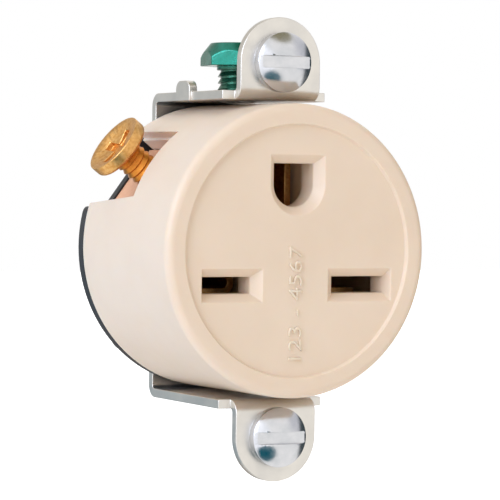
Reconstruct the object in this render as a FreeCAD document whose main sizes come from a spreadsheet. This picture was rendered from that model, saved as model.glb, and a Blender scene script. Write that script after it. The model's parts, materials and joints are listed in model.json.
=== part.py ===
import FreeCAD, Part
import os
import re
import Sketcher

# Single receptacle for a two-pole, 250 volt grounding plug, on a short U-shaped strap.
# Millimetres. X to the right, Y from the face to the back, Z up.
# The origin is midway between the two mounting screws, in the plane of the ears' back faces.

# Driving dimensions
SIZES = {
    # moulded front body
    "face_dia": 34.92,
    "body_flare": 0.14,
    "body_length": 22.8,
    "rim_round": 1.05,
    "rim_width": 2.56,
    "recess_depth": 0.5,
    "recess_edge": 0.15,
    "face_wall": 4.0,
    "face_stand": 5.15,
    # blade slots and their lead-ins
    "slot_edge": 5.96,
    "slot_drop": 4.05,
    "left_slot_length": 6.4,
    "right_slot_length": 7.1,
    "slot_gap": 2.0,
    "funnel_depth": 1.2,
    "funnel_side": 1.0,
    "funnel_inner_end": 1.2,
    "funnel_outer_end": 0.5,
    # ground opening, flat on top and round below
    "ground_rise": 7.86,
    "ground_slot_dia": 5.3,
    "ground_flat": 2.5,
    "ground_funnel": 1.03,
    # pockets behind the face
    "pocket_above": 6.65,
    "pocket_below": 2.3,
    "pocket_end": 1.79,
    "pocket_wall": 1.9,
    "ground_pocket_width": 8.2,
    "ground_pocket_height": 7.3,
    # rear cover
    "cover_thick": 1.8,
    "cover_edge": 0.4,
    "cover_corner": 1.0,
    "cover_notch_reach": 5.65,
    "cover_notch_clear": 0.24,
    "cover_tongue_reach": 1.2,
    "cover_relief": 0.55,
    # side notches with the line terminals
    "terminal_tilt": 37.0,
    "terminal_inset": 6.3,
    "notch_reach": 5.2,
    "notch_width": 9.2,
    "notch_flare": 1.0,
    "notch_step": 0.3,
    "notch_step_rise": 1.7,
    "plate_drop": 3.7,
    "plate_thick": 1.3,
    "plate_width": 8.9,
    "plate_room": 0.3,
    # line contacts, a strip folded around the blade
    "contact_thick": 0.8,
    "contact_set_back": 4.35,
    "contact_rear_room": 1.55,
    "contact_bend": 0.6,
    "blade_grip": 1.3,
    "blade_room": 0.2,
    "arm_half_width": 4.2,
    "arm_room": 0.7,
    "arm_foot_room": 0.8,
    "contact_room": 0.5,
    # ground contact, a strip folded into a fork
    "fork_grip": 4.4,
    "fork_height": 5.2,
    "fork_set_back": 4.35,
    "fork_flare": 0.6,
    "fork_flare_length": 2.0,
    "fork_thick": 0.8,
    "fork_bend": 0.3,
    # strap
    "strap_thick": 1.1,
    "strap_width": 14.0,
    "strap_clearance": 0.3,
    "bend_inner": 0.5,
    "ear_width": 10.8,
    "screw_offset": 3.42,
    "shoulder_back": 0.45,
    "tab_width": 3.65,
    "tab_rise": 1.35,
    "tab_proud": 0.3,
    "tab_round": 1.1,
    "tab_behind": 0.2,
    "collar_rise": 0.35,
    "collar_wall": 0.45,
    "collar_foot": 0.4,
    # mounting screws
    "mounting_head_dia": 7.18,
    "mounting_head_rim": 1.05,
    "mounting_head_dome": 1.3,
    "mounting_shank_dia": 3.5,
    "mounting_shoulder": 0.2,
    "mounting_stud_clear": 0.65,
    "mounting_slot_width": 1.42,
    "mounting_slot_depth": 1.0,
    # terminal screws
    "terminal_head_dia": 7.94,
    "terminal_head_thick": 1.62,
    "terminal_head_gap": 5.33,
    "terminal_head_round": 0.5,
    "terminal_dish": 0.95,
    "terminal_dish_rim": 0.35,
    "terminal_dish_slope": 1.3,
    "terminal_shank_dia": 4.16,
    "terminal_shank_length": 7.8,
    "terminal_slot_width": 1.1,
    "terminal_slot_length": 4.8,
    "terminal_slot_depth": 1.2,
    # ground screw
    "hex_flats": 7.94,
    "hex_height": 2.85,
    "hex_straight": 1.05,
    "hex_top_dia": 6.4,
    "hex_turn": 20.0,
    "hex_slot_length": 5.2,
    "hex_slot_width": 1.2,
    "hex_slot_depth": 1.1,
    "ground_gap": 3.3,
    "ground_shank_dia": 4.82,
    "ground_shank_length": 4.8,
    "ground_well_depth": 4.2,
    "well_room": 0.3,
    # screws that hold the strap and the cover, and the ground contact's rivet
    "strap_screw_rise": 0.6,
    "strap_screw_edge": 4.8,
    "cover_screw_edge": 2.53,
    "cover_screw_turn": 46.9,
    "assembly_head_dia": 4.4,
    "assembly_head_height": 1.5,
    "assembly_head_slope": 0.5,
    "assembly_shank_dia": 2.2,
    "assembly_grip": 8.0,
    "assembly_slot_width": 0.7,
    "assembly_slot_depth": 0.7,
    "rivet_dia": 2.4,
    "rivet_head_height": 0.8,
    # clearances and small chamfers
    "thread_clearance": 0.02,
    "hole_clearance": 0.15,
    "screw_tip": 0.5,
    "past": 1.0,
}

# Places and sizes that follow from the driving dimensions
PLACES = {
    "ear_front": "-strap_thick",
    "rim_plane": "ear_front - face_stand",
    "recess_plane": "rim_plane + recess_depth",
    "funnel_end": "recess_plane + funnel_depth",
    "pocket_front": "recess_plane + face_wall",
    "body_rear": "rim_plane + body_length",
    "cover_rear": "body_rear + cover_thick",
    "strap_rear": "cover_rear + strap_thick",
    "face_r": "face_dia / 2",
    "recess_r": "face_r - rim_width",
    "body_rear_r": "face_r + body_flare",
    "outside": "body_rear_r + past",
    "arm_inner": "body_rear_r + strap_clearance",
    "arm_outer": "arm_inner + strap_thick",
    "bend_outer": "bend_inner + strap_thick",
    "ear_r": "ear_width / 2",
    "half_spacing": "arm_outer + screw_offset",
    "half_strap": "strap_width / 2",
    "slot_level": "-slot_drop",
    "slot_reach": "recess_r - slot_edge",
    "half_barrier": "slot_reach - right_slot_length / 2 - pocket_end",
    "ground_slot_r": "ground_slot_dia / 2",
    "ground_lead_r": "ground_slot_r + ground_funnel",
    "terminal_back": "body_rear - terminal_inset",
    "notch_front": "terminal_back - notch_reach",
    "plate_level": "body_rear_r - plate_drop",
    "notch_step_level": "plate_level + notch_step_rise",
    "cover_notch_level": "plate_level + cover_notch_clear",
    "plate_back": "plate_level - plate_thick",
    "arm_back": "plate_back - contact_thick",
    "arm_room_back": "arm_back - contact_room",
    "plate_front": "notch_front + plate_room",
    "plate_rear": "body_rear + cover_relief - thread_clearance",
    "contact_front": "pocket_front + contact_set_back",
    "contact_rear": "body_rear - contact_rear_room",
    "contact_middle": "(contact_front + contact_rear) / 2",
    "riser_inner": "slot_reach + right_slot_length / 2 + blade_room",
    "riser_outer": "riser_inner + contact_thick",
    "arm_foot": "(riser_outer - plate_back * cos(terminal_tilt)) / sin(terminal_tilt)",
    "arm_room_foot": "arm_foot + arm_foot_room",
    "fold_outer": "half_barrier + contact_room",
    "fold_inner": "fold_outer + contact_thick",
    "terminal_head_r": "terminal_head_dia / 2",
    "terminal_shank_r": "terminal_shank_dia / 2",
    "terminal_seat": "plate_level + terminal_head_gap",
    "terminal_head_level": "terminal_seat + terminal_head_thick",
    "terminal_tip": "terminal_seat - terminal_shank_length",
    "ground_seat": "arm_outer + ground_gap",
    "ground_tip": "ground_seat - ground_shank_length",
    "ground_shank_r": "ground_shank_dia / 2",
    "hex_top": "ground_seat + hex_height",
    "hex_corner_r": "hex_flats / 2 / cos(30)",
    "mounting_stud_end": "terminal_back - hex_corner_r - mounting_stud_clear",
    "mounting_shank_r": "mounting_shank_dia / 2",
    "mounting_shoulder_r": "mounting_shank_r + mounting_shoulder",
    "mounting_head_r": "mounting_head_dia / 2",
    "mounting_head_top": "ear_front - mounting_head_rim - mounting_head_dome",
    "assembly_shank_r": "assembly_shank_dia / 2",
    "assembly_head_r": "assembly_head_dia / 2",
    "cover_screw_reach": "(body_rear_r - cover_screw_edge) * cos(cover_screw_turn)",
    "cover_screw_drop": "(body_rear_r - cover_screw_edge) * sin(cover_screw_turn)",
    "strap_screw_drop": "body_rear_r - strap_screw_edge",
    "fork_front": "pocket_front + fork_set_back",
    "fork_inner": "fork_grip / 2",
    "fork_outer": "fork_inner + fork_thick",
    "fork_seat": "body_rear - fork_thick",
    "rivet_head_r": "fork_inner - fork_bend - thread_clearance",
}

doc = FreeCAD.newDocument("single_receptacle")
finished = []
SIDES = {"left": -1, "right": 1}
ENDS = {"upper": 1, "lower": -1}


def formula(text):
    """An expression with its sheet named in front of every size and place."""
    def with_sheet(match):
        word = match.group(0)
        if word in SIZES:
            return "dims." + word
        return "places." + word if word in PLACES else word
    return re.sub(r"[a-z_]+", with_sheet, text)


def fill_sheet(name, rows, as_cell):
    sheet = doc.addObject("Spreadsheet::Sheet", name)
    for line, (alias, content) in enumerate(rows.items(), 1):
        sheet.set("A%d" % line, alias)
        sheet.set("B%d" % line, as_cell(content))
        sheet.setAlias("B%d" % line, alias)
    doc.recompute()
    return sheet


dims = fill_sheet("dims", SIZES, str)
places = fill_sheet("places", PLACES, lambda text: "=" + formula(text))


def value(text):
    """The number that an expression gives now."""
    number = places.evalExpression(formula(text))
    return float(getattr(number, "Value", number))


def bind(item, links):
    for prop, text in links.items():
        item.setExpression(prop, formula(text))
    return item


def outward(side, text):
    """A distance from the middle, made an X coordinate on one side."""
    return "-(%s)" % text if side < 0 else text


def outward_range(side, near, far):
    pair = (outward(side, near), outward(side, far))
    return pair if side > 0 else pair[::-1]


# Primitives whose sizes and places are expressions

AXIS_TURNS = {
    "x": FreeCAD.Rotation(FreeCAD.Vector(0, 1, 0), 90),
    "y": FreeCAD.Rotation(FreeCAD.Vector(1, 0, 0), -90),
    "z": FreeCAD.Rotation(),
}


def box(x_range, y_range, z_range):
    item = doc.addObject("Part::Box", "Box")
    links = {}
    for size, axis, (low, high) in zip(("Length", "Width", "Height"), "xyz", (x_range, y_range, z_range)):
        links[size] = "(%s) - (%s)" % (high, low)
        links["Placement.Base." + axis] = low
    return bind(item, links)


def both_ways(half):
    return ("-(%s)" % half, half)


def round_bar(kind, axis, span, across, radii):
    item = doc.addObject(kind, kind.split("::")[1])
    item.Placement = FreeCAD.Placement(FreeCAD.Vector(), AXIS_TURNS[axis])
    links = dict(radii)
    links["Height"] = "(%s) - (%s)" % (span[1], span[0])
    links["Placement.Base." + axis] = span[0]
    for other, place in zip([name for name in "xyz" if name != axis], across):
        links["Placement.Base." + other] = place
    return bind(item, links)


def cylinder(axis, radius, span, across=("0", "0")):
    """A round bar along an axis from span[0] to span[1], at two places across it."""
    return round_bar("Part::Cylinder", axis, span, across, {"Radius": radius})


def cone(axis, radii, span, across=("0", "0")):
    return round_bar("Part::Cone", axis, span, across, {"Radius1": radii[0], "Radius2": radii[1]})


def taper(y_range, front, rear):
    """A block between two rectangles, each (x low, x high, z low, z high), at the ends of a Y range."""
    item = doc.addObject("Part::Wedge", "Wedge")
    names = ("Xmin", "Xmax", "Zmin", "Zmax", "X2min", "X2max", "Z2min", "Z2max")
    links = dict(zip(names, tuple(front) + tuple(rear)))
    links["Ymin"], links["Ymax"] = y_range
    return bind(item, links)


def several(kind, pieces):
    item = doc.addObject(kind, kind.split("::")[1])
    item.Shapes = list(pieces)
    item.Refine = True
    return item


def fuse(*pieces):
    return pieces[0] if len(pieces) == 1 else several("Part::MultiFuse", pieces)


def common(*pieces):
    return several("Part::MultiCommon", pieces)


def cut(base, *tools):
    item = doc.addObject("Part::Cut", "Cut")
    item.Base = base
    item.Tool = fuse(*tools)
    item.Refine = True
    return item


def grouped(item):
    """A group of one piece, which can be turned as a whole."""
    group = doc.addObject("Part::Compound", "Group")
    group.Links = [item]
    return group


def swing(item, side):
    """Swing a piece that points along X up to its terminal's direction, about the middle axis."""
    item.Placement = FreeCAD.Placement(FreeCAD.Vector(), FreeCAD.Rotation(FreeCAD.Vector(0, 1, 0), 1))
    return bind(item, {"Placement.Rotation.Angle": "%d * terminal_tilt" % -side})


def name_piece(item, label):
    item.Label = label
    finished.append(item)


# Sketched bodies

def sketch_on(body, role, corners):
    """A closed outline. Its corners (u, v) are expressions, and (u, v, v of the centre) ends an arc."""
    sketch = body.newObject("Sketcher::SketchObject", "Profile")
    plane = next(item for item in body.Origin.OriginFeatures if item.Role == role)
    sketch.AttachmentSupport = [(plane, "")]
    sketch.MapMode = "FlatFace"
    points = [FreeCAD.Vector(value(corner[0]), value(corner[1]), 0) for corner in corners]
    for index, (corner, point) in enumerate(zip(corners, points)):
        if len(corner) == 3:
            sketch.addGeometry(short_arc(points[index - 1], point, value(corner[2])), False)
        else:
            sketch.addGeometry(Part.LineSegment(points[index - 1], point), False)
    ends = [2 if (run.EndPoint - point).Length < 1e-6 else 1 for run, point in zip(sketch.Geometry, points)]
    for index, (corner, point) in enumerate(zip(corners, points)):
        following = (index + 1) % len(corners)
        joined = (index, ends[index], following, 3 - ends[following])
        sketch.addConstraint(Sketcher.Constraint("Coincident", *joined))
        hold(sketch, "DistanceX", index, ends[index], corner[0])
        hold(sketch, "DistanceY", index, ends[index], corner[1])
        if len(corner) == 3:
            hold(sketch, "DistanceY", index, 3, corner[2])
    return sketch


def hold(sketch, kind, index, point, place):
    """Keep one coordinate of a point at an expression."""
    at = sketch.addConstraint(Sketcher.Constraint(kind, -1, 1, index, point, value(place)))
    sketch.setExpression("Constraints[%d]" % at, formula(place))


def short_arc(start, end, centre_v):
    """The shorter arc between two points, about a centre at a known height."""
    half = (start + end) / 2
    centre_u = half.x - (centre_v - half.y) * (end.y - start.y) / (end.x - start.x)
    centre = FreeCAD.Vector(centre_u, centre_v, 0)
    middle = centre + (half - centre).normalize() * (end - centre).Length
    return Part.Arc(start, middle, end)


SPIN_PLANES = {"x": ("XY_Plane", "H_Axis"), "y": ("XY_Plane", "V_Axis"), "z": ("XZ_Plane", "V_Axis")}


def spun(axis, corners):
    """A piece of revolution about an axis, from (radius, place along the axis) corners."""
    plane, line = SPIN_PLANES[axis]
    body = doc.addObject("PartDesign::Body", "Spun")
    sketch = sketch_on(body, plane, [corner[1::-1] if axis == "x" else corner for corner in corners])
    turn = body.newObject("PartDesign::Revolution", "Revolution")
    turn.Profile = sketch
    turn.ReferenceAxis = (sketch, [line])
    turn.Angle = 360
    return body


def padded(role, width, corners):
    """A strip with one outline all the way across, centred on an origin plane."""
    body = doc.addObject("PartDesign::Body", "Padded")
    pad = body.newObject("PartDesign::Pad", "Pad")
    pad.Profile = sketch_on(body, role, corners)
    pad.SideType = "Symmetric"
    bind(pad, {"Length": width})
    return body


def round_off(body, kind, spots, radius):
    """Fillet the edges of one kind of curve that pass through corners of the body's sketch."""
    doc.recompute()
    base = body.Tip
    sketch = next(item for item in body.Group if item.isDerivedFrom("Sketcher::SketchObject"))
    names = []
    for u, v in spots:
        at = Part.Vertex(sketch.Placement.multVec(FreeCAD.Vector(value(u), value(v), 0)))
        names += ["Edge%d" % number for number, edge in enumerate(base.Shape.Edges, 1)
                  if edge.Curve.TypeId == kind and edge.distToShape(at)[0] < 1e-4]
    fillet = body.newObject("PartDesign::Fillet", "Fillet")
    fillet.Base = (base, names)
    bind(fillet, {"Radius": radius})
    body.Tip = fillet


LINE = "Part::GeomLine"
CIRCLE = "Part::GeomCircle"


# Front body

def blade_slot(side, length):
    """One blade slot through the face wall, with its lead-in, which is wider toward the middle."""
    near, far = "slot_reach - (%s) / 2" % length, "slot_reach + (%s) / 2" % length
    inner = outward_range(side, near, far)
    lead = outward_range(side, near + " - funnel_inner_end", far + " + funnel_outer_end")
    low, high = "slot_level - slot_gap / 2", "slot_level + slot_gap / 2"
    mouth = lead + (low + " - funnel_side", high + " + funnel_side")
    return fuse(taper(("recess_plane", "funnel_end"), mouth, inner + (low, high)),
                box(inner, ("funnel_end", "pocket_front"), (low, high)))


def ground_slot():
    """The ground opening: round below its centre, straight-sided and flat above it."""
    mouth_flat = "ground_flat + ground_funnel"
    below = box(both_ways("face_r"), ("recess_plane", "pocket_front"), ("ground_rise - face_r", "ground_rise"))
    round_part = common(below, fuse(
        cone("y", ("ground_lead_r", "ground_slot_r"), ("recess_plane", "funnel_end"), ("0", "ground_rise")),
        cylinder("y", "ground_slot_r", ("funnel_end", "pocket_front"), ("0", "ground_rise"))))
    mouth = both_ways("ground_lead_r") + ("ground_rise", "ground_rise + " + mouth_flat)
    inner = both_ways("ground_slot_r") + ("ground_rise", "ground_rise + ground_flat")
    return fuse(round_part, taper(("recess_plane", "funnel_end"), mouth, inner),
                box(inner[:2], ("funnel_end", "pocket_front"), inner[2:]))


def line_pocket(side):
    """The room for one line contact, open at the rear."""
    block = box(outward_range(side, "half_barrier", "outside"), ("pocket_front", "body_rear + past"),
                ("slot_level - pocket_below", "slot_level + pocket_above"))
    return common(block, cylinder("y", "body_rear_r - pocket_wall", ("pocket_front", "body_rear + past")))


def arm_room(side):
    """The room for the contact's arm behind its terminal plate."""
    room = box(outward_range(side, "arm_room_back", "plate_back"),
               ("contact_front - contact_room", "body_rear + past"),
               ("-arm_room_foot", "arm_half_width + arm_room"))
    return swing(grouped(room), side)


def side_notch(side):
    """The notch over a terminal plate. Its lower wall flares to the rear, and both have a small step."""
    def opening(near, widening):
        across = outward_range(side, near, "outside")
        low, high = both_ways("notch_width / 2 + " + widening)
        return taper(("notch_front", "body_rear"), across + (low, high), across + (low + " - notch_flare", high))
    return swing(fuse(opening("plate_back", "0"), opening("notch_step_level", "notch_step")), side)


def screw_hole(radius, span, at):
    return cylinder("y", radius, span, at)


STRAP_SCREWS = {"upper": ("0", "strap_screw_rise"), "lower": ("0", "-strap_screw_drop")}
COVER_SCREWS = {name: (outward(side, "cover_screw_reach"), "-cover_screw_drop")
                for name, side in SIDES.items()}
ASSEMBLY_PLACES = list(STRAP_SCREWS.values()) + list(COVER_SCREWS.values())


def make_front_body():
    blank = spun("y", [
        ("0", "recess_plane"), ("recess_r", "recess_plane"), ("recess_r + recess_edge", "rim_plane"),
        ("face_r", "rim_plane"), ("body_rear_r", "body_rear"), ("0", "body_rear")])
    round_off(blank, CIRCLE, [("face_r", "rim_plane")], "rim_round")
    ground_pocket = box(
        both_ways("ground_pocket_width / 2"), ("pocket_front", "body_rear + past"),
        ("ground_rise - ground_pocket_height / 2", "ground_rise + ground_pocket_height / 2"))
    well = cylinder("z", "ground_shank_r + well_room",
                    ("body_rear_r - ground_well_depth", "outside"), ("0", "terminal_back"))
    tools = [ground_slot(), ground_pocket, well]
    for name, side in SIDES.items():
        tools += [blade_slot(side, name + "_slot_length"), line_pocket(side), arm_room(side), side_notch(side)]
    for at in ASSEMBLY_PLACES:
        tools.append(screw_hole("assembly_shank_r + thread_clearance",
                                ("body_rear - assembly_grip - screw_tip", "body_rear + past"), at))
    name_piece(cut(blank, *tools), "front_body")


# Rear cover

def cover_tongue(side):
    """A short tongue of the cover that stands behind a notch's upper wall."""
    across = ("notch_width / 2 - cover_tongue_reach", "notch_width / 2 + cover_corner")
    block = box(outward_range(side, "plate_level", "notch_step_level"), ("body_rear", "cover_rear"), across)
    return swing(grouped(block), side)


def make_rear_cover():
    through = ("body_rear - past", "cover_rear + past")
    notches = [swing(grouped(box(outward_range(side, "cover_notch_level", "outside"), through,
                                 ("-cover_notch_reach", "outside"))), side) for side in SIDES.values()]
    disc = cylinder("y", "body_rear_r", ("body_rear", "cover_rear"))
    notched = fuse(cut(disc, *notches), *[cover_tongue(side) for side in SIDES.values()])
    doc.recompute()
    rounded = doc.addObject("Part::Fillet", "Fillet")
    rounded.Base = notched
    corner, rim = value("cover_corner"), value("body_rear_r")
    rounded.Edges = [(number, corner, corner) for number, edge in enumerate(notched.Shape.Edges, 1)
                     if edge.Curve.TypeId == LINE and is_rim_corner(edge, rim)]
    edged = spun("y", [
        ("0", "body_rear"), ("body_rear_r", "body_rear"), ("body_rear_r", "cover_rear - cover_edge"),
        ("body_rear_r - cover_edge", "cover_rear"), ("0", "cover_rear")])
    reliefs = [swing(grouped(box(outward_range(side, "plate_back - plate_room", "outside"),
                                 ("body_rear - past", "body_rear + cover_relief"),
                                 both_ways("plate_width / 2 + plate_room"))), side) for side in SIDES.values()]
    tools = [screw_hole("rivet_dia / 2 + thread_clearance", through, ("0", "ground_rise"))]
    tools += [screw_hole("assembly_shank_r + hole_clearance", through, at) for at in ASSEMBLY_PLACES]
    name_piece(cut(common(rounded, edged), *tools, *reliefs), "rear_cover")


def is_rim_corner(edge, rim):
    """Whether an edge runs along Y on the rim of the disc."""
    first, last = edge.Vertexes[0].Point, edge.Vertexes[-1].Point
    on_rim = abs((first.x ** 2 + first.z ** 2) ** 0.5 - rim) < 1e-4
    return on_rim and abs(first.x - last.x) < 1e-6 and abs(first.z - last.z) < 1e-6 and first.y != last.y


# Strap

def make_strap():
    """One strip, folded from the upper ear around the body to the lower ear."""
    tip = "half_spacing + ear_r"
    upper_outside = [("0", tip), ("0", "arm_outer"), ("strap_rear", "arm_outer")]
    upper_inside = [("ear_front", tip), ("ear_front", "arm_inner"), ("cover_rear", "arm_inner")]
    lower_outside = [(along, "-(%s)" % rise) for along, rise in reversed(upper_outside)]
    lower_inside = [(along, "-(%s)" % rise) for along, rise in reversed(upper_inside)]
    strip = padded("YZ_Plane", "strap_width",
                   upper_outside + lower_outside + lower_inside[::-1] + upper_inside[::-1])
    tight = [("0", "arm_outer"), ("cover_rear", "arm_inner"), ("0", "-arm_outer"), ("cover_rear", "-arm_inner")]
    wide = [("ear_front", "arm_inner"), ("strap_rear", "arm_outer"),
            ("ear_front", "-arm_inner"), ("strap_rear", "-arm_outer")]
    round_off(strip, LINE, tight, "bend_inner")
    round_off(strip, LINE, wide, "bend_outer")
    ear_depth = ("ear_front", "shoulder_back")
    outline = fuse(
        box(both_ways("half_strap"), ("shoulder_back", "strap_rear"), both_ways("arm_outer")),
        box(both_ways("ear_r"), ear_depth, both_ways("half_spacing")),
        cylinder("y", "ear_r", ear_depth, ("0", "half_spacing")),
        cylinder("y", "ear_r", ear_depth, ("0", "-half_spacing")))
    at_ground = ("0", "terminal_back")
    neck = "ground_shank_r + collar_wall"
    collar = cone("z", (neck + " + collar_foot", neck), ("arm_outer", "arm_outer + collar_rise"), at_ground)
    blank = fuse(common(strip, outline), wire_stop(), collar)
    through = ("cover_rear - past", "strap_rear + past")
    tools = [
        cylinder("z", "ground_shank_r + thread_clearance",
                 ("arm_inner - past", "arm_outer + collar_rise + past"), at_ground),
        screw_hole("rivet_dia / 2 + thread_clearance", through, ("0", "ground_rise"))]
    tools += [screw_hole("assembly_shank_r + hole_clearance", through, at) for at in STRAP_SCREWS.values()]
    tools += [screw_hole("mounting_shoulder_r + thread_clearance", ("ear_front - past", "past"),
                         ("0", "%d * half_spacing" % end)) for end in ENDS.values()]
    name_piece(cut(blank, *tools), "mounting_strap")


def wire_stop():
    """The small tab bent up at one edge of the upper arm, which keeps a wire under the ground screw."""
    across = ("-(half_strap + tab_proud)", "-(half_strap + tab_proud) + strap_thick")
    front = "terminal_back + tab_behind - tab_width / 2"
    back = "terminal_back + tab_behind + tab_width / 2"
    top = "arm_outer + tab_rise"
    low = box(across, (front, back), ("arm_inner", top + " - tab_round"))
    high = box(across, (front + " + tab_round", back + " - tab_round"), ("arm_inner", top))
    shoulders = [cylinder("x", "tab_round", across, (along, top + " - tab_round"))
                 for along in (front + " + tab_round", back + " - tab_round")]
    return fuse(low, high, *shoulders)


# Mounting screws

def make_mounting_screw(name, end):
    """An oval-head machine screw with one slot and a shoulder that fills the ear's hole."""
    rise = "%d * half_spacing" % end
    centre = "mounting_head_top + (mounting_head_r * mounting_head_r" \
             " + mounting_head_dome * mounting_head_dome) / (2 * mounting_head_dome)"
    blank = spun("y", [
        ("0", "mounting_stud_end"), ("0", "mounting_head_top"),
        ("mounting_head_r", "mounting_head_top + mounting_head_dome", centre), ("mounting_head_r", "ear_front"),
        ("mounting_shoulder_r", "ear_front"), ("mounting_shoulder_r", "0"), ("mounting_shank_r", "0"),
        ("mounting_shank_r", "mounting_stud_end - screw_tip"),
        ("mounting_shank_r - screw_tip", "mounting_stud_end")])
    slot = box(both_ways("mounting_head_r + past"),
               ("mounting_head_top - past", "mounting_head_top + mounting_slot_depth"),
               both_ways("mounting_slot_width / 2"))
    name_piece(bind(cut(blank, slot), {"Placement.Base.z": rise}), name + "_mounting_screw")


# Line terminals

def make_terminal_plate(name, side):
    """The tapped brass plate that a wire is clamped to."""
    plate = box(outward_range(side, "plate_back", "plate_level"),
                ("plate_front", "plate_rear"), both_ways("plate_width / 2"))
    hole = cylinder("x", "terminal_shank_r + thread_clearance",
                    outward_range(side, "plate_back - past", "plate_level + past"), ("terminal_back", "0"))
    name_piece(swing(cut(plate, hole), side), name + "_terminal_plate")


def make_terminal_screw(name, side):
    """A binding-head screw, dished on top, with crossed slots inside the dish."""
    dish_floor = "terminal_head_level - terminal_dish"
    dish_r = "terminal_head_r - terminal_dish_rim"
    corners = [
        ("0", "terminal_tip"), ("terminal_shank_r - screw_tip", "terminal_tip"),
        ("terminal_shank_r", "terminal_tip + screw_tip"), ("terminal_shank_r", "terminal_seat"),
        ("terminal_head_r", "terminal_seat"), ("terminal_head_r", "terminal_head_level"),
        (dish_r, "terminal_head_level"), (dish_r + " - terminal_dish_slope", dish_floor + " + terminal_dish * 0.4"),
        (dish_r + " - terminal_dish_slope * 2", dish_floor + " + terminal_dish * 0.1"), ("0", dish_floor)]
    blank = spun("x", [(radius, outward(side, along)) for radius, along in corners])
    round_off(blank, CIRCLE, [(outward(side, "terminal_seat"), "terminal_head_r")], "terminal_head_round")
    depth = outward_range(side, "terminal_head_level - terminal_slot_depth", "terminal_head_level + past")
    slot_y = ("terminal_back - terminal_slot_width / 2", "terminal_back + terminal_slot_width / 2")
    cross_y = ("terminal_back - terminal_slot_length / 2", "terminal_back + terminal_slot_length / 2")
    bind(blank, {"Placement.Base.y": "terminal_back"})
    screw = cut(blank, box(depth, slot_y, both_ways("terminal_slot_length / 2")),
                box(depth, cross_y, both_ways("terminal_slot_width / 2")))
    name_piece(swing(screw, side), name + "_terminal_screw")


def make_line_contact(name, side):
    """A brass strip: an arm under the terminal plate, then a fold that holds the blade from both sides."""
    slant = "(%s) * cos(terminal_tilt) - (%s) * sin(terminal_tilt)"
    climb = "(%s) * sin(terminal_tilt) + (%s) * cos(terminal_tilt)"
    meet = "((%s) - (%s) * cos(terminal_tilt)) / sin(terminal_tilt)"
    upper, lower = "slot_level + blade_grip / 2", "slot_level - blade_grip / 2"
    corners = [
        (slant % ("plate_back", "arm_half_width"), climb % ("plate_back", "arm_half_width")),
        ("riser_outer", meet % ("plate_back", "riser_outer")),
        ("riser_outer", upper), ("fold_inner", upper), ("fold_inner", lower), ("riser_inner", lower),
        ("riser_inner", lower + " - contact_thick"), ("fold_outer", lower + " - contact_thick"),
        ("fold_outer", upper + " + contact_thick"), ("riser_inner", upper + " + contact_thick"),
        ("riser_inner", meet % ("arm_back", "riser_inner")),
        (slant % ("arm_back", "arm_half_width"), climb % ("arm_back", "arm_half_width"))]
    corners = [(outward(side, reach), rise) for reach, rise in corners]
    strip = padded("XZ_Plane", "contact_rear - contact_front", corners)
    round_off(strip, LINE, [corners[index] for index in (3, 4, 9)], "contact_bend")
    round_off(strip, LINE, [corners[index] for index in (2, 7, 8)], "contact_bend + contact_thick")
    bind(strip, {"Placement.Base.y": "contact_middle"})
    hole = cylinder("x", "terminal_shank_r + hole_clearance",
                    outward_range(side, "arm_back - past", "plate_back + past"), ("terminal_back", "0"))
    name_piece(cut(strip, swing(grouped(hole), side)), name + "_line_contact")


# Ground path

def make_ground_contact():
    """A strip folded into a fork that grips the ground pin, riveted to the strap."""
    mouth = "fork_front + fork_flare_length"
    right = [("fork_inner + fork_flare", "fork_front"), ("fork_outer + fork_flare", "fork_front"),
             ("fork_outer", mouth), ("fork_outer", "body_rear")]
    inner = [("fork_inner", "fork_seat"), ("fork_inner", mouth)]
    left = [("-(%s)" % across, along) for across, along in reversed(right)]
    inner_left = [("-(%s)" % across, along) for across, along in reversed(inner)]
    fork = padded("XY_Plane", "fork_height", right + left + inner_left + inner)
    round_off(fork, LINE, [("fork_inner", "fork_seat"), ("-fork_inner", "fork_seat")], "fork_bend")
    round_off(fork, LINE, [("fork_outer", "body_rear"), ("-fork_outer", "body_rear")], "fork_bend + fork_thick")
    bind(fork, {"Placement.Base.z": "ground_rise"})
    hole = screw_hole("rivet_dia / 2 + thread_clearance", ("fork_seat - past", "body_rear + past"),
                      ("0", "ground_rise"))
    name_piece(cut(fork, hole), "ground_contact")


def make_rivet():
    """One rivet through the fork, the cover and the strap."""
    rivet = spun("y", [
        ("0", "fork_seat - rivet_head_height"), ("rivet_head_r", "fork_seat - rivet_head_height"),
        ("rivet_head_r", "fork_seat"), ("rivet_dia / 2", "fork_seat"), ("rivet_dia / 2", "strap_rear"),
        ("rivet_head_r", "strap_rear"), ("rivet_head_r", "strap_rear + rivet_head_height"),
        ("0", "strap_rear + rivet_head_height")])
    bind(rivet, {"Placement.Base.z": "ground_rise"})
    name_piece(rivet, "ground_contact_rivet")


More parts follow.
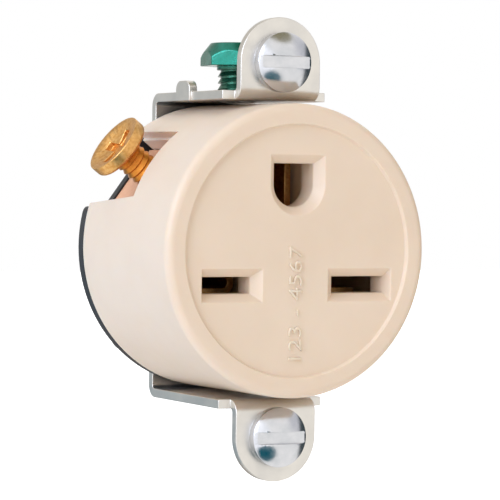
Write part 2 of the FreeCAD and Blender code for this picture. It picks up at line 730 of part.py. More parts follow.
def make_ground_screw():
    """A hexagon-head screw with a slot, partly driven into the strap's upper arm."""
    at = ("0", "terminal_back")
    prism = doc.addObject("Part::Prism", "Prism")
    prism.Polygon = 6
    prism.Placement = FreeCAD.Placement(FreeCAD.Vector(), FreeCAD.Rotation(FreeCAD.Vector(0, 0, 1), 1))
    bind(prism, {"Circumradius": "hex_corner_r", "Height": "hex_height", "Placement.Base.y": "terminal_back",
                 "Placement.Base.z": "ground_seat", "Placement.Rotation.Angle": "hex_turn"})
    shoulder = "ground_seat + hex_straight"
    turned = fuse(cylinder("z", "hex_corner_r", ("ground_seat", shoulder), at),
                  cone("z", ("hex_corner_r", "hex_top_dia / 2"), (shoulder, "hex_top"), at))
    shank = cylinder("z", "ground_shank_r", ("ground_tip + screw_tip", "ground_seat"), at)
    tip = cone("z", ("ground_shank_r - screw_tip", "ground_shank_r"), ("ground_tip", "ground_tip + screw_tip"), at)
    slot = box(both_ways("hex_slot_length / 2"),
               ("terminal_back - hex_slot_width / 2", "terminal_back + hex_slot_width / 2"),
               ("hex_top - hex_slot_depth", "hex_top + past"))
    name_piece(cut(fuse(common(prism, turned), shank, tip), slot), "ground_screw")


# Screws from the rear

def make_assembly_screw(label, seat, at):
    """A small round-head screw, driven from the rear into the body."""
    head_top = seat + " + assembly_head_height"
    tip = "body_rear - assembly_grip"
    blank = spun("y", [
        ("0", tip), ("assembly_shank_r - screw_tip", tip), ("assembly_shank_r", tip + " + screw_tip"),
        ("assembly_shank_r", seat), ("assembly_head_r", seat),
        ("assembly_head_r", head_top + " - assembly_head_slope"),
        ("assembly_head_r - assembly_head_slope", head_top), ("0", head_top)])
    slot = box(both_ways("assembly_head_r + past"), (head_top + " - assembly_slot_depth", head_top + " + past"),
               both_ways("assembly_slot_width / 2"))
    screw = cut(blank, slot)
    bind(screw, {"Placement.Base.x": at[0], "Placement.Base.z": at[1]})
    name_piece(screw, label)


make_front_body()
make_rear_cover()
make_strap()
make_ground_contact()
make_rivet()
make_ground_screw()
for name, side in SIDES.items():
    make_terminal_plate(name, side)
    make_line_contact(name, side)
    make_terminal_screw(name, side)
    make_assembly_screw(name + "_cover_screw", "cover_rear", COVER_SCREWS[name])
for name, end in ENDS.items():
    make_mounting_screw(name, end)
    make_assembly_screw(name + "_strap_screw", "strap_rear", STRAP_SCREWS[name])

# Check everything, then write one file for each piece

doc.recompute()
failed = [item for item in doc.Objects if "Invalid" in item.State or "Error" in item.State]
for item in failed:
    print("%s did not build: %s %s" % (item.Name, item.getStatusString(), [other.Name for other in item.OutList]))
if failed:
    raise RuntimeError("%d objects did not build" % len(failed))
for item in finished:
    if item.Shape.isNull() or not item.Shape.isValid() or len(item.Shape.Solids) != 1:
        raise RuntimeError("%s is not one valid solid" % item.Label)

os.makedirs("parts", exist_ok=True)
for item in finished:
    item.Shape.exportStep("parts/%s.step" % item.Label)
    print("%-24s %9.2f mm3" % (item.Label, item.Shape.Volume))
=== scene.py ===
# %% [markdown]
# # A round single receptacle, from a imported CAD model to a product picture
#
# The receptacle is a moulded plastic drum held in a folded steel strap. Its pieces come as a
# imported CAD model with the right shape, size and place. This notebook gives them what a CAD
# model leaves out: softened edges, screw threads, raised figures, and the finish of each
# metal and plastic. Lengths are in metres, and one millimetre is written as MM.

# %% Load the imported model
import json
import math

import bmesh
import bpy
from mathutils import Matrix, Vector


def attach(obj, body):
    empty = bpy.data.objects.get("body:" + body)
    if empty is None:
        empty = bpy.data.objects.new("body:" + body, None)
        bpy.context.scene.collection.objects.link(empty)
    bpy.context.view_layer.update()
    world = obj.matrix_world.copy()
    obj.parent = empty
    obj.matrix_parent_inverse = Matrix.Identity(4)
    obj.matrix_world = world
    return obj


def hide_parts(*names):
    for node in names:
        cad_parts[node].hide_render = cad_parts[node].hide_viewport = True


MM = 0.001
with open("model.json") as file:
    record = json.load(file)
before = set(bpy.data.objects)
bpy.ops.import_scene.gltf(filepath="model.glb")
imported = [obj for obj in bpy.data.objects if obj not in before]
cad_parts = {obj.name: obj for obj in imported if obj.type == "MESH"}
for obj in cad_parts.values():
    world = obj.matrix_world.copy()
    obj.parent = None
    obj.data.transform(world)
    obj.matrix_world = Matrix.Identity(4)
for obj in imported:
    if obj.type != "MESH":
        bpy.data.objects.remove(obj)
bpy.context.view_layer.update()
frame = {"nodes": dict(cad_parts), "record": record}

# %% [markdown]
# ## The camera
#
# A product photograph is taken from some way off with a long lens, so that round things stay
# round. The camera's place was worked out from the drum's outline and the two screws: about
# 0.3 m away, 28 degrees to the left and almost level. Three angles give its three axes, which
# are the columns of its rotation.

# %% Place the camera
AZIMUTH, ELEVATION, ROLL = (math.radians(angle) for angle in (-28.322, 1.509, 0.794))
CAMERA_PLACE = Vector((-147.97, -268.51, 8.0)) * MM
FOCAL_PIXELS, FRAME_PIXELS, SENSOR = 2552.97, 500, 36.0


def camera_turn(azimuth, elevation, roll):
    """The camera's rotation, as three columns: right, up and back."""
    back = Vector((math.sin(azimuth) * math.cos(elevation), -math.cos(azimuth) * math.cos(elevation),
                   math.sin(elevation)))
    right = Vector((0, 0, 1)).cross(back).normalized()
    up = back.cross(right)
    rolled_right = right * math.cos(roll) + up * math.sin(roll)
    rolled_up = up * math.cos(roll) - right * math.sin(roll)
    return Matrix((rolled_right, rolled_up, back)).transposed()


camera_data = bpy.data.cameras.new("camera")
camera_data.sensor_width = SENSOR
camera_data.lens = FOCAL_PIXELS / FRAME_PIXELS * SENSOR
camera_data.clip_start = 10 * MM
camera = bpy.data.objects.new("camera", camera_data)
camera.matrix_world = Matrix.Translation(CAMERA_PLACE) @ camera_turn(AZIMUTH, ELEVATION, ROLL).to_4x4()
bpy.context.scene.collection.objects.link(camera)
bpy.context.scene.camera = camera
bpy.context.scene.view_settings.view_transform = "Standard"
print("lens:", round(camera_data.lens, 1), "mm")

# %% [markdown]
# ## Materials, one function for each finish
#
# Every material is a Principled shader with a little pattern of its own. The pattern reads
# Object coordinates, so it is the same size on each piece and needs no unwrapping. Numbers
# that are the same all over a surface are set on the shader's own sockets.


# %% Helpers for materials
def linear(red, green, blue):
    """A colour read off a screen, 0 to 255, as the linear colour that a shader wants."""
    parts = [part / 255 for part in (red, green, blue)]
    lit = [part / 12.92 if part <= 0.04045 else ((part + 0.055) / 1.055) ** 2.4 for part in parts]
    return (*lit, 1)


NOISE_MIDDLE = (0.3, 0.7)


class Finish:
    """A material under construction: its node tree, its shader and its Object coordinates."""

    def __init__(self, name, **sockets):
        self.material = bpy.data.materials.new(name)
        self.material.use_nodes = True
        self.nodes = self.material.node_tree.nodes
        self.links = self.material.node_tree.links
        self.shader = self.nodes["Principled BSDF"]
        self.place = self.nodes.new("ShaderNodeTexCoord").outputs["Object"]
        for socket, number in sockets.items():
            self.shader.inputs[socket.replace("_", " ")].default_value = number

    def stretched(self, scale):
        """The coordinates, scaled by a different amount along each axis."""
        mapping = self.nodes.new("ShaderNodeMapping")
        mapping.inputs["Scale"].default_value = scale
        self.links.new(self.place, mapping.inputs["Vector"])
        return mapping.outputs["Vector"]

    def noise(self, feature, detail=3.0, place=None):
        """A noise whose blotches are about the given size in metres."""
        node = self.nodes.new("ShaderNodeTexNoise")
        node.inputs["Scale"].default_value = 1 / feature
        node.inputs["Detail"].default_value = detail
        self.links.new(place or self.place, node.inputs["Vector"])
        return node.outputs["Fac"]

    def spread(self, pattern, low, high, source=NOISE_MIDDLE):
        """A pattern's range, by default the middle range of a noise, turned into numbers from low to high."""
        node = self.nodes.new("ShaderNodeMapRange")
        for socket, number in zip(("From Min", "From Max", "To Min", "To Max"), (*source, low, high)):
            node.inputs[socket].default_value = number
        self.links.new(pattern, node.inputs["Value"])
        return node.outputs["Result"]

    def away(self, low, high):
        """A factor that goes from 0 to 1 between two distances from the drum's axis."""
        distance = self.nodes.new("ShaderNodeVectorMath")
        distance.operation = "LENGTH"
        self.links.new(self.stretched((1.0, 0.0, 1.0)), distance.inputs[0])
        return self.spread(distance.outputs["Value"], 0.0, 1.0, source=(low, high))

    def blend(self, factor, first, second):
        """One colour passing into another as a factor goes from 0 to 1."""
        node = self.nodes.new("ShaderNodeMix")
        node.data_type = "RGBA"
        self.links.new(factor, node.inputs["Factor"])
        for socket, colour in zip(("A", "B"), (first, second)):
            target = next(item for item in node.inputs if item.name == socket and item.type == "RGBA")
            if hasattr(colour, "is_linked"):
                self.links.new(colour, target)
            else:
                target.default_value = colour
        return next(item for item in node.outputs if item.type == "RGBA")

    def feed(self, socket, value):
        """Let a pattern set one of the shader's sockets."""
        self.links.new(value, self.shader.inputs[socket])

    def bump(self, height, depth):
        """Roughen the surface by a pattern of the given depth."""
        node = self.nodes.new("ShaderNodeBump")
        node.inputs["Distance"].default_value = depth
        self.links.new(height, node.inputs["Height"])
        self.feed("Normal", node.outputs["Normal"])


# %% [markdown]
# **Almond plastic.** The face is thermoset or nylon, moulded with a fine satin grain. A pale
# cream varies by a percent or two where the melt cooled unevenly, and light goes a little way
# in, which keeps the shadows in the slots warm.


# %% Almond plastic
def almond_plastic():
    finish = Finish("almond_plastic", Specular_IOR_Level=0.45, Subsurface_Weight=0.25,
                    Subsurface_Scale=1.0 * MM, Subsurface_Radius=(1.0, 0.55, 0.3))
    cloudy = finish.spread(finish.noise(9 * MM), 0.0, 1.0)
    finish.feed("Base Color", finish.blend(cloudy, linear(235, 212, 186), linear(231, 207, 180)))
    finish.feed("Roughness", finish.spread(finish.noise(2.5 * MM), 0.36, 0.46))
    finish.bump(finish.noise(0.22 * MM, detail=2.0), 0.008 * MM)
    return finish.material


# %% [markdown]
# **Dark plastic.** The rear cover is moulded in a near-black plastic with a coarser grain. No
# plastic is truly black: a dark grey leaves room for the shadows to be darker.


# %% Dark plastic of the rear cover
def dark_plastic():
    finish = Finish("dark_plastic", Specular_IOR_Level=0.3)
    cloudy = finish.spread(finish.noise(4 * MM), 0.0, 1.0)
    finish.feed("Base Color", finish.blend(cloudy, linear(36, 37, 38), linear(48, 48, 49)))
    finish.feed("Roughness", finish.spread(finish.noise(1.2 * MM), 0.34, 0.46))
    finish.bump(finish.noise(0.25 * MM, detail=2.0), 0.01 * MM)
    return finish.material


# %% [markdown]
# **Zinc-plated strip.** The strap is rolled strip with a thin zinc coat. Rolling leaves long
# fine lines, which here run across the strap's width, and the coat leaves cloudy patches that
# differ in gloss. Both come from noise, one of them stretched along the lines.


# %% Zinc-plated steel
def zinc_steel():
    finish = Finish("zinc_steel", Metallic=1.0)
    lines = finish.noise(0.09 * MM, place=finish.stretched((0.04, 1.0, 1.0)))
    cloudy = finish.spread(finish.noise(3 * MM), 0.0, 1.0)
    finish.feed("Base Color", finish.blend(cloudy, linear(226, 221, 213), linear(212, 208, 202)))
    finish.feed("Roughness", finish.spread(finish.noise(1.6 * MM), 0.3, 0.42))
    finish.bump(lines, 0.006 * MM)
    return finish.material


# %% [markdown]
# **Bright plated screws.** Screws are tumbled before they are plated, so they are smoother
# than strip. They mirror the room almost clearly, and only fine blotches break it up.


# %% Bright plated screws
def bright_steel():
    finish = Finish("bright_steel", Metallic=1.0)
    cloudy = finish.spread(finish.noise(1.5 * MM), 0.0, 1.0)
    finish.feed("Base Color", finish.blend(cloudy, linear(214, 214, 217), linear(200, 202, 206)))
    finish.feed("Roughness", finish.spread(finish.noise(0.7 * MM), 0.16, 0.26))
    finish.bump(finish.noise(0.16 * MM), 0.004 * MM)
    return finish.material


# %% [markdown]
# ** Green dye on steel, and brass.** A ground screw is plated steel dyed green, so it is a
# coloured metal and not a paint: each flat mirrors the room in its own tone. Terminal screws
# are plain brass with a sandy, rolled surface. The strip parts behind them are redder, and
# their tone is set very light as painted light, since they sit in the notch's shade.
# A screw's shank sees less of the room than its head, so it gets a deeper tone, painted shade,
# which passes into the head's tone between two distances from the drum's axis.


# %% Green and brass
GROUND_HEAD_START = (22.1 * MM, 22.3 * MM)
TERMINAL_HEAD_START = (18.9 * MM, 19.3 * MM)


def green_steel():
    finish = Finish("green_steel", Metallic=0.85, Coat_Weight=0.4, Coat_Roughness=0.1)
    cloudy = finish.spread(finish.noise(1.4 * MM), 0.0, 1.0)
    dyed = finish.blend(cloudy, linear(26, 126, 107), linear(7, 102, 82))
    # The shank's darker green, linear(36, 92, 72), is painted shade that fades into the dyed head.
    finish.feed("Base Color", finish.blend(finish.away(*GROUND_HEAD_START), linear(36, 92, 72), dyed))
    finish.feed("Roughness", finish.spread(finish.noise(0.6 * MM), 0.26, 0.38))
    finish.bump(finish.noise(0.3 * MM), 0.012 * MM)
    return finish.material


def brass(name, light, dark, rough, grain, metallic=1.0, shank=None):
    """Brass of two tones, with a darker third tone painted on a terminal screw's shank as shade, if one is
    given.
    """
    finish = Finish(name, Metallic=metallic)
    cloudy = finish.spread(finish.noise(0.4 * MM), 0.0, 1.0)
    colour = finish.blend(cloudy, light, dark)
    if shank:
        # A darker shank tone is painted shade, faded into the head's colour between the two distances.
        colour = finish.blend(finish.away(*TERMINAL_HEAD_START), shank, colour)
    finish.feed("Base Color", colour)
    finish.feed("Roughness", finish.spread(finish.noise(0.5 * MM), rough, rough + 0.1))
    finish.bump(finish.noise(0.12 * MM, detail=4.0), grain)
    return finish.material


# %% [markdown]
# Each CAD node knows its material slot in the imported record, so one table takes every node
# to its finish.

# %% Dress the CAD nodes
FINISHES = {
    "almond_plastic": almond_plastic(),
    "dark_plastic": dark_plastic(),
    "zinc_steel": zinc_steel(),
    "bright_steel": bright_steel(),
    "green_steel": green_steel(),
    # The screws' shank tone is painted shade, darker than the heads' brass.
    "screw_brass": brass("screw_brass", linear(238, 190, 122), linear(208, 150, 78), 0.28, 0.03 * MM,
                         shank=linear(214, 138, 58)),
    # The plates' very light salmon tone is partly their redder brass and partly painted light for the notch's
    # shade.
    "plate_brass": brass("plate_brass", linear(255, 196, 152), linear(250, 184, 140), 0.36, 0.006 * MM,
                         metallic=0.1),
    "contact_brass": brass("contact_brass", linear(226, 182, 116), linear(206, 158, 96), 0.3, 0.004 * MM),
}
SLOTS = {part["node"]: part["material_slot"] for part in frame["record"]["subparts"]}
for node, piece in frame["nodes"].items():
    piece.data.materials.clear()
    piece.data.materials.append(FINISHES[SLOTS[node]])
print("materials:", ", ".join(FINISHES))

# %% [markdown]
# ## Softened edges
#
# Moulded and stamped pieces never have knife edges: a radius of a tenth of a millimetre
# catches a thin line of light, and that line is most of what tells an eye that a thing is
# real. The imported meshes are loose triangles, so each copy is merged and its flat areas are
# joined first. A Bevel modifier then rounds every edge sharper than 30 degrees, and the
# result is baked into a plain mesh. The strap's shoulders end in slivers 0.05 mm wide, which
# no bevel can round, so that piece is merged over a wider gap.


# %% Helpers for pieces
MERGE_GAP, STRAP_MERGE_GAP = 0.002 * MM, 0.06 * MM
FLAT_ANGLE, SHARP_ANGLE, SHARP_THREAD_ANGLE = math.radians(0.5), math.radians(30), math.radians(38)


def join_flats(mesh, gap=MERGE_GAP, turn_outwards=False):
    """Merge the points of a mesh that are nearer than the gap, and join its flat areas."""
    work = bmesh.new()
    work.from_mesh(mesh)
    bmesh.ops.remove_doubles(work, verts=work.verts, dist=gap)
    bmesh.ops.dissolve_limit(work, angle_limit=FLAT_ANGLE, verts=work.verts, edges=work.edges)
    if turn_outwards:
        bmesh.ops.recalc_face_normals(work, faces=work.faces)
    work.to_mesh(mesh)
    work.free()
    return mesh


def merged_copy(node, gap=MERGE_GAP):
    """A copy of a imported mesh, merged and with its flat areas joined."""
    return join_flats(frame["nodes"][node].data.copy(), gap)


def linked(name, mesh):
    """A new object in the scene."""
    piece = bpy.data.objects.new(name, mesh)
    bpy.context.scene.collection.objects.link(piece)
    return piece


def bake(piece):
    """Turn what a piece's modifiers make into its plain mesh."""
    graph = bpy.context.evaluated_depsgraph_get()
    mesh = bpy.data.meshes.new_from_object(piece.evaluated_get(graph))
    piece.modifiers.clear()
    piece.data = mesh
    return mesh


def soften(piece, width, segments=3):
    """Round every sharp edge of a piece and shade it smooth. Large faces keep their own direction."""
    bevel = piece.modifiers.new("soft edges", "BEVEL")
    bevel.width = width
    bevel.segments = segments
    bevel.limit_method = "ANGLE"
    bevel.angle_limit = SHARP_ANGLE
    bevel.use_clamp_overlap = False
    even = piece.modifiers.new("even shading", "WEIGHTED_NORMAL")
    even.weight = 50
    piece.data.shade_smooth()
    bake(piece)


def register(piece, node=None):
    """Say what a finished piece is: it is part of the one body, and may stand in for a node."""
    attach(piece, "root")
    if node:
        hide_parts(node)


# %% [markdown]
# The widths are in millimetres, larger on moulded plastic and turned heads, and smaller on
# strip. A real rounded edge is about as wide, and a wider one would look melted.

# %% Soften the moulded and stamped pieces
SOFT_EDGES = {
    "front_body": 0.1, "rear_cover": 0.12, "mounting_strap": 0.09,
    "left_terminal_plate": 0.08, "right_terminal_plate": 0.08,
    "left_line_contact": 0.06, "right_line_contact": 0.06,
    "ground_contact": 0.06, "ground_contact_rivet": 0.12,
    "upper_strap_screw": 0.07, "lower_strap_screw": 0.07,
    "left_cover_screw": 0.07, "right_cover_screw": 0.07,
}
for node, width in SOFT_EDGES.items():
    gap = STRAP_MERGE_GAP if node == "mounting_strap" else MERGE_GAP
    piece = linked("soft_" + node, merged_copy(node, gap))
    soften(piece, width * MM)
    register(piece, node)
    print(node, len(piece.data.polygons), "faces")

# %% [markdown]
# ## Screw threads
#
# A thread is a ridge that climbs round a core, so it suits Geometry Nodes: a spiral curve
# carries a small four-sided profile, and the profile shrinks to nothing at both ends, where
# a real thread runs out. All the screws here have 32 threads to the inch, a pitch of
# 0.794 mm, and a ridge about 0.6 of the pitch high. One tree serves them all, and each
# modifier sets its own radii and lengths. The curve's normals are kept level, so that the
# profile stands straight out from the core.


# %% A small kit for node trees
class Tree:
    """A Geometry Nodes tree under construction, with named inputs."""

    def __init__(self, name, inputs):
        self.group = bpy.data.node_groups.new(name, "GeometryNodeTree")
        self.identifiers = {}
        for label, kind in inputs.items():
            socket = self.group.interface.new_socket(label, in_out="INPUT", socket_type="NodeSocket" + kind)
            self.identifiers[label] = socket.identifier
        self.group.interface.new_socket("Geometry", in_out="OUTPUT", socket_type="NodeSocketGeometry")
        self.inputs = self.group.nodes.new("NodeGroupInput").outputs

    def add(self, kind, sockets=None, **settings):
        """A node, with its settings, and its input sockets given a number or another node's output."""
        node = self.group.nodes.new(kind)
        for name, value in settings.items():
            setattr(node, name, value)
        for name, value in (sockets or {}).items():
            if isinstance(value, bpy.types.NodeSocket):
                self.group.links.new(value, node.inputs[name])
            else:
                node.inputs[name].default_value = value
        return node

    def math(self, operation, first, second):
        """The result of one sum on two numbers."""
        node = self.add("ShaderNodeMath", {0: first, 1: second}, operation=operation)
        return node.outputs[0]

    def point(self, x, y, z=0.0):
        """A point made of three numbers."""
        return self.add("ShaderNodeCombineXYZ", {"X": x, "Y": y, "Z": z}).outputs[0]

    def raised(self, geometry, height):
        """A geometry moved up along +Z."""
        place = self.point(0, 0, height)
        return self.add("GeometryNodeTransform", {"Geometry": geometry, "Translation": place}).outputs[0]

    def join(self, *geometries):
        """Several geometries as one."""
        node = self.group.nodes.new("GeometryNodeJoinGeometry")
        for geometry in geometries:
            self.group.links.new(geometry, node.inputs[0])
        return node.outputs[0]

    def finish(self, geometry):
        """Make the instances real, give the material and send the geometry out."""
        real = self.add("GeometryNodeRealizeInstances", {"Geometry": geometry}).outputs[0]
        dressed = self.add("GeometryNodeSetMaterial", {"Geometry": real, "Material": self.inputs["Material"]})
        self.group.links.new(dressed.outputs[0], self.group.nodes.new("NodeGroupOutput").inputs[0])
        return self


# %% The thread tree
PITCH = 25.4 / 32 * MM
ROOT_HALF, CREST_HALF, RIDGE_HEIGHT = 0.44, 0.07, 0.6
RUN_OUT = 1.6
RIDGE_SINK = 0.03 * MM
STEPS_PER_TURN, CORE_SIDES = 48, 64


def thread_tree():
    """A threaded bar along +Z. The ridge is measured in pitches, and its foot is sunk in the core."""
    tree = Tree("screw_thread", {"Core Radius": "Float", "Crest Radius": "Float", "Pitch": "Float",
                                 "Neck": "Float", "Length": "Float", "Material": "Material"})
    core, crest, pitch, neck, length = (tree.inputs[name] for name in (
        "Core Radius", "Crest Radius", "Pitch", "Neck", "Length"))
    climb = tree.math("SUBTRACT", length, neck)
    turns = tree.math("DIVIDE", climb, pitch)
    spiral = tree.add("GeometryNodeCurveSpiral", {
        "Resolution": STEPS_PER_TURN, "Rotations": turns, "Start Radius": core, "End Radius": core,
        "Height": climb, "Reverse": True})
    upright = tree.add("GeometryNodeSetCurveNormal", {"Curve": spiral.outputs[0]}, mode="Z_UP")
    along = tree.add("GeometryNodeSplineParameter").outputs["Factor"]
    to_end = tree.math("MINIMUM", along, tree.math("SUBTRACT", 1.0, along))
    grown = tree.math("MINIMUM", tree.math("MULTIPLY", tree.math("MULTIPLY", to_end, turns), RUN_OUT), 1.0)
    tapered = tree.add("GeometryNodeSetCurveRadius", {"Curve": upright.outputs[0], "Radius": grown})
    root, tip = tree.math("MULTIPLY", pitch, ROOT_HALF), tree.math("MULTIPLY", pitch, CREST_HALF)
    low, high = -RIDGE_SINK, tree.math("SUBTRACT", crest, core)
    ridge = tree.add("GeometryNodeCurvePrimitiveQuadrilateral", {
        "Point 1": tree.point(tree.math("MULTIPLY", root, -1.0), low),
        "Point 2": tree.point(tree.math("MULTIPLY", tip, -1.0), high),
        "Point 3": tree.point(tip, high), "Point 4": tree.point(root, low)}, mode="POINTS")
    size = tree.add("GeometryNodeInputRadius").outputs[0]
    swept = tree.add("GeometryNodeCurveToMesh", {
        "Curve": tapered.outputs[0], "Profile Curve": ridge.outputs[0], "Scale": size, "Fill Caps": True})
    bar = tree.add("GeometryNodeMeshCylinder", {"Vertices": CORE_SIDES, "Radius": core, "Depth": length})
    thread = tree.raised(swept.outputs[0], neck)
    shank = tree.raised(bar.outputs[0], tree.math("MULTIPLY", length, 0.5))
    return tree.finish(tree.join(thread, shank))


THREAD = thread_tree()
print("thread inputs:", ", ".join(THREAD.identifiers))

# %% [markdown]
# A screw keeps its packed head and gets a threaded shank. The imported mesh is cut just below
# the head with a plane, the cut is closed, and the head's edges are softened. The thread is
# made along +Z from the origin, turned to the screw's direction and joined to the head.


# %% Threaded screws
SHANK_INSIDE_HEAD = 0.05


def head_of(node, seat, direction):
    """A packed screw, cut off square below its seat."""
    mesh = merged_copy(node)
    work = bmesh.new()
    work.from_mesh(mesh)
    everything = list(work.verts) + list(work.edges) + list(work.faces)
    cut = bmesh.ops.bisect_plane(work, geom=everything, plane_co=seat, plane_no=direction, clear_outer=True)
    edges = [item for item in cut["geom_cut"] if isinstance(item, bmesh.types.BMEdge)]
    bmesh.ops.contextual_create(work, geom=edges)
    work.to_mesh(mesh)
    work.free()
    return mesh


def thread_mesh(crest, neck, length, material):
    """The mesh of a threaded bar along +Z from the origin."""
    piece = linked("thread", bpy.data.meshes.new("thread"))
    modifier = piece.modifiers.new("thread", "NODES")
    modifier.node_group = THREAD.group
    values = {"Core Radius": crest - RIDGE_HEIGHT * PITCH, "Crest Radius": crest, "Pitch": PITCH,
              "Neck": neck, "Length": length, "Material": material}
    for label, value in values.items():
        modifier[THREAD.identifiers[label]] = value
    mesh = bake(piece)
    bpy.data.objects.remove(piece)
    return mesh


def join_mesh(piece, mesh):
    """Add a mesh to a piece, with both meshes' shading kept."""
    other = linked("to_join", mesh)
    with bpy.context.temp_override(active_object=piece, object=piece,
                                   selected_objects=[piece, other], selected_editable_objects=[piece, other]):
        bpy.ops.object.join()


def threaded_screw(node, seat, direction, crest, length, neck=0.15, edge=0.09):
    """Replace a packed screw by its softened head on a threaded shank. Sizes are in millimetres."""
    seat, direction = Vector(seat) * MM, Vector(direction).normalized()
    head = linked("head_and_thread_" + node, head_of(node, seat, direction))
    soften(head, edge * MM)
    shank = thread_mesh(crest * MM, neck * MM, length * MM, FINISHES[SLOTS[node]])
    turn = Vector((0, 0, 1)).rotation_difference(direction).to_matrix().to_4x4()
    shank.transform(Matrix.Translation(seat - direction * SHANK_INSIDE_HEAD * MM) @ turn)
    shank.shade_smooth()
    shank.set_sharp_from_angle(angle=SHARP_THREAD_ANGLE)
    join_mesh(head, shank)
    register(head, node)
    print(node, len(head.data.polygons), "faces")


# %% [markdown]
# The terminal and ground screws point at the drum's axis, and the mounting screws run
# parallel to it. Each head is cut a little below its seat, where the shank already hides the
# cut. Screws of number 8, 10 and 6 have crest radii of 2.08, 2.41 and 1.75 mm.

# %% Put the screws in
SCREWS_BACK, TERMINAL_TILT = 10.25, math.radians(37)
TERMINAL_CUT, GROUND_CUT = 19.23 - 0.3, 22.3 - 0.5
MOUNTING_CUT, MOUNTING_RISE = 0.1, 22.42
for side, name in ((-1, "left"), (1, "right")):
    outward = Vector((side * math.cos(TERMINAL_TILT), 0, math.sin(TERMINAL_TILT)))
    seat = outward * TERMINAL_CUT + Vector((0, SCREWS_BACK, 0))
    threaded_screw(name + "_terminal_screw", seat, -outward, crest=2.08, length=7.4)
threaded_screw("ground_screw", (0, SCREWS_BACK, GROUND_CUT), (0, 0, -1), crest=2.41, length=3.75, edge=0.13)
for name, rise in (("upper", MOUNTING_RISE), ("lower", -MOUNTING_RISE)):
    threaded_screw(name + "_mounting_screw", (0, MOUNTING_CUT, rise), (0, 1, 0), crest=1.75, length=4.85,
                   edge=0.04)

# %% [markdown]
# ## Raised figures
#
# The face carries a row of low raised figures, moulded with it. They run up the face, so a
# text object is made a mesh, fitted to its height and length, and stood on the face with
# local X going up. The figures are plain numerals.


# %% Figures on the face
def raised_figures(text, low_end, high_end, left, right, foot, top):
    """Numerals that read upwards, between two heights and two sides, from the foot to the top plane."""
    curve = bpy.data.curves.new("figures", "FONT")
    curve.body = text
    curve.extrude = 0.5
    curve.resolution_u = 4
    holder = linked("figures_text", curve)
    graph = bpy.context.evaluated_depsgraph_get()
    mesh = bpy.data.meshes.new_from_object(holder.evaluated_get(graph))
    bpy.data.objects.remove(holder)
    spans = []
    for axis in range(3):
        places = [vertex.co[axis] for vertex in mesh.vertices]
        spans.append((min(places), max(places) - min(places)))
    for vertex in mesh.vertices:
        along, across, depth = ((vertex.co[axis] - low) / span for axis, (low, span) in enumerate(spans))
        vertex.co = Vector((right + (left - right) * across, foot + (top - foot) * depth,
                            low_end + (high_end - low_end) * along)) * MM
    join_flats(mesh, turn_outwards=True)
    mesh.materials.clear()
    mesh.materials.append(FINISHES["almond_plastic"])
    piece = linked("face_figures", mesh)
    soften(piece, 0.05 * MM, segments=2)
    register(piece)
    return piece


figures = raised_figures("123 - 4567", low_end=-12.89, high_end=0.57, left=-1.11, right=0.63,
                         foot=-5.7, top=-5.98)
print("figures:", len(figures.data.polygons), "faces")

# %% [markdown]
# ## Light and background
#
# Plain soft light, as on a product table: a wide key lamp to the left, a weaker one in front
# on the right, one overhead, and a weak cool one behind on the left. The floor and the sky
# are white to the camera, and a weaker sky fills the shadows.
#
# Metal shows little but its surroundings, so mirror rays get a sky of their own: white all
# round, with soft patches of other tones, as the walls and tables of a studio give. The floor
# and all lamps but the key are hidden from mirrors, since their glare would fill the flat ears
# and the screws' domes.

# %% Lamps
WHITE = (1, 1, 1, 1)


def area_lamp(name, place, size, power, colour=WHITE[:3], mirrored=False):
    """A rectangular lamp that points at the object. Places and sizes are in metres."""
    data = bpy.data.lights.new(name, "AREA")
    data.shape = "RECTANGLE"
    data.size, data.size_y = size
    data.energy = power
    data.color = colour
    lamp = bpy.data.objects.new(name, data)
    lamp.location = place
    lamp.rotation_euler = (-Vector(place)).to_track_quat("-Z", "Y").to_euler()
    lamp.visible_glossy = mirrored
    bpy.context.scene.collection.objects.link(lamp)
    print(name, power, "W")


area_lamp("key_lamp", (-0.75, -0.3, 0.35), (0.5, 0.6), 4.5, (0.87, 1.02, 1.31), mirrored=True)
area_lamp("fill_lamp", (0.35, -0.85, -0.02), (0.5, 0.5), 1.67, (1.06, 0.97, 0.88))
area_lamp("back_lamp", (-0.7, 0.5, 0.0), (0.4, 0.4), 0.8, (0.12, 0.7, 1.8))
area_lamp("top_lamp", (0.0, -0.05, 0.8), (0.6, 0.6), 1.65)

# %% [markdown]
# Each patch of the mirrored sky has a direction and a colour, and two cosines that say how
# near to that direction a ray must be for the patch to begin and to be full.

# %% The mirrored sky
SKY_WHITE = (1.13, 1.12, 1.1, 1)
PATCHES = {
    "grey, behind and above": ((-0.16, 0.88, 0.45), 0.72, 0.97, (0.68, 0.66, 0.62, 1)),
    "slate, behind on the left": ((-0.47, 0.84, -0.35), 0.87, 0.97, (0.28, 0.38, 0.46, 1)),
    "brown, behind and below": ((0.2, 0.85, -0.45), 0.91, 0.98, (0.3, 0.27, 0.24, 1)),
    "pale grey, on the right": ((0.9, -0.18, 0.3), 0.75, 1.0, (0.78, 0.78, 0.82, 1)),
    "olive, overhead": ((0.25, -0.25, 0.93), 0.86, 0.96, (0.33, 0.3, 0.19, 1)),
    "near black, on the right": ((0.98, 0.22, -0.05), 0.86, 0.94, (0.06, 0.08, 0.09, 1)),
    "bright, in front on the left": ((-0.75, -0.65, 0.05), 0.74, 0.82, (1.35, 1.36, 1.4, 1)),
    "teal, low in front": ((-0.22, -0.69, -0.69), 0.9, 0.945, (0.0, 0.12, 0.17, 1)),
}


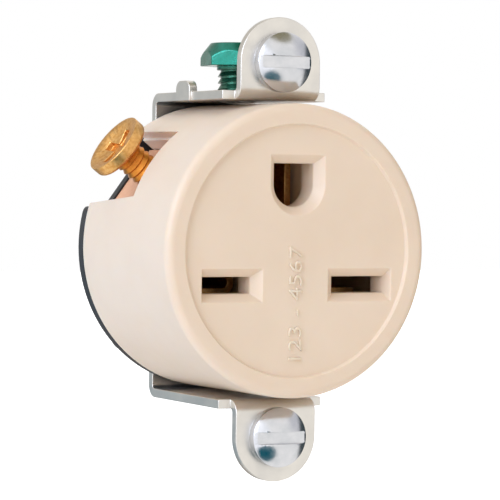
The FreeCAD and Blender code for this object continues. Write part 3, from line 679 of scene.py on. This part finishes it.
def mirrored_sky(nodes, links):
    """The colour of the surroundings, blended from one patch to the next by a ray's direction."""
    direction = nodes.new("ShaderNodeTexCoord").outputs["Generated"]
    white = nodes.new("ShaderNodeRGB")
    white.outputs[0].default_value = SKY_WHITE
    colour = white.outputs[0]
    for toward, start, full, tint in PATCHES.values():
        near = nodes.new("ShaderNodeVectorMath")
        near.operation = "DOT_PRODUCT"
        near.inputs[1].default_value = Vector(toward).normalized()
        links.new(direction, near.inputs[0])
        factor = nodes.new("ShaderNodeMapRange")
        factor.interpolation_type = "SMOOTHSTEP"
        factor.inputs["From Min"].default_value = start
        factor.inputs["From Max"].default_value = full
        links.new(near.outputs["Value"], factor.inputs["Value"])
        mix = nodes.new("ShaderNodeMixRGB")
        links.new(factor.outputs["Result"], mix.inputs["Fac"])
        links.new(colour, mix.inputs["Color1"])
        mix.inputs["Color2"].default_value = tint
        colour = mix.outputs["Color"]
    return colour


print("patches in the mirrored sky:", len(PATCHES))

# %% [markdown]
# The world looks different to each kind of ray. The camera sees pure white, mirror rays see
# the patches, and every other ray finds a weak white light. The floor glows a little, which
# lights the object from below, and glows more where the camera looks at it, so that its far
# edge doesn't show and the object's shadow stays.

# %% Sky and floor
SKY_STRENGTH = 0.44
FLOOR_LEVEL, FLOOR_HALF_WIDTH = -160 * MM, 4.0
FLOOR_COLOUR, FLOOR_GLOW, FLOOR_GLOW_IN_VIEW = (0.85, 0.85, 0.85, 1), 0.17, 0.85
SEEN_RAYS = ("Is Camera Ray", "Is Transmission Ray")


def any_ray(nodes, links, *kinds):
    """One for a ray of any of these kinds, and zero for the rest."""
    rays = nodes.new("ShaderNodeLightPath")
    total = rays.outputs[kinds[0]]
    for kind in kinds[1:]:
        larger = nodes.new("ShaderNodeMath")
        larger.operation = "MAXIMUM"
        links.new(total, larger.inputs[0])
        links.new(rays.outputs[kind], larger.inputs[1])
        total = larger.outputs[0]
    return total


def make_sky(strength):
    """A sky that lights the object at the given strength, shows in mirrors and looks white."""
    world = bpy.data.worlds.new("studio")
    bpy.context.scene.world = world
    world.use_nodes = True
    nodes, links = world.node_tree.nodes, world.node_tree.links
    light = nodes["Background"]
    light.inputs["Strength"].default_value = strength
    seen = nodes.new("ShaderNodeBackground")
    seen.inputs["Color"].default_value = WHITE
    mirrored = nodes.new("ShaderNodeBackground")
    links.new(mirrored_sky(nodes, links), mirrored.inputs["Color"])
    surface = light.outputs[0]
    for background, kinds in ((mirrored, ("Is Glossy Ray",)), (seen, SEEN_RAYS)):
        mix = nodes.new("ShaderNodeMixShader")
        links.new(any_ray(nodes, links, *kinds), mix.inputs[0])
        links.new(surface, mix.inputs[1])
        links.new(background.outputs[0], mix.inputs[2])
        surface = mix.outputs[0]
    links.new(surface, nodes["World Output"].inputs["Surface"])
    light.inputs["Color"].default_value = WHITE


def make_floor(half_width):
    """A white floor with a little light of its own, and more for the camera, so that it is white all over."""
    mesh = bpy.data.meshes.new("floor")
    corners = [(x * half_width, y * half_width, FLOOR_LEVEL) for x, y in ((-1, -1), (1, -1), (1, 1), (-1, 1))]
    mesh.from_pydata(corners, [], [(0, 1, 2, 3)])
    floor = bpy.data.objects.new("floor", mesh)
    floor.visible_glossy = False
    bpy.context.scene.collection.objects.link(floor)
    material = bpy.data.materials.new("floor_white")
    material.use_nodes = True
    nodes, links = material.node_tree.nodes, material.node_tree.links
    shader = nodes["Principled BSDF"]
    shader.inputs["Base Color"].default_value = FLOOR_COLOUR
    shader.inputs["Roughness"].default_value = 0.9
    shader.inputs["Emission Color"].default_value = WHITE
    glow = nodes.new("ShaderNodeMath")
    glow.operation = "MULTIPLY_ADD"
    links.new(any_ray(nodes, links, *SEEN_RAYS), glow.inputs[0])
    glow.inputs[1].default_value = FLOOR_GLOW_IN_VIEW
    glow.inputs[2].default_value = FLOOR_GLOW
    links.new(glow.outputs[0], shader.inputs["Emission Strength"])
    mesh.materials.append(material)


make_sky(SKY_STRENGTH)
make_floor(FLOOR_HALF_WIDTH)
print("floor", round(FLOOR_LEVEL / MM), "mm below the centre")
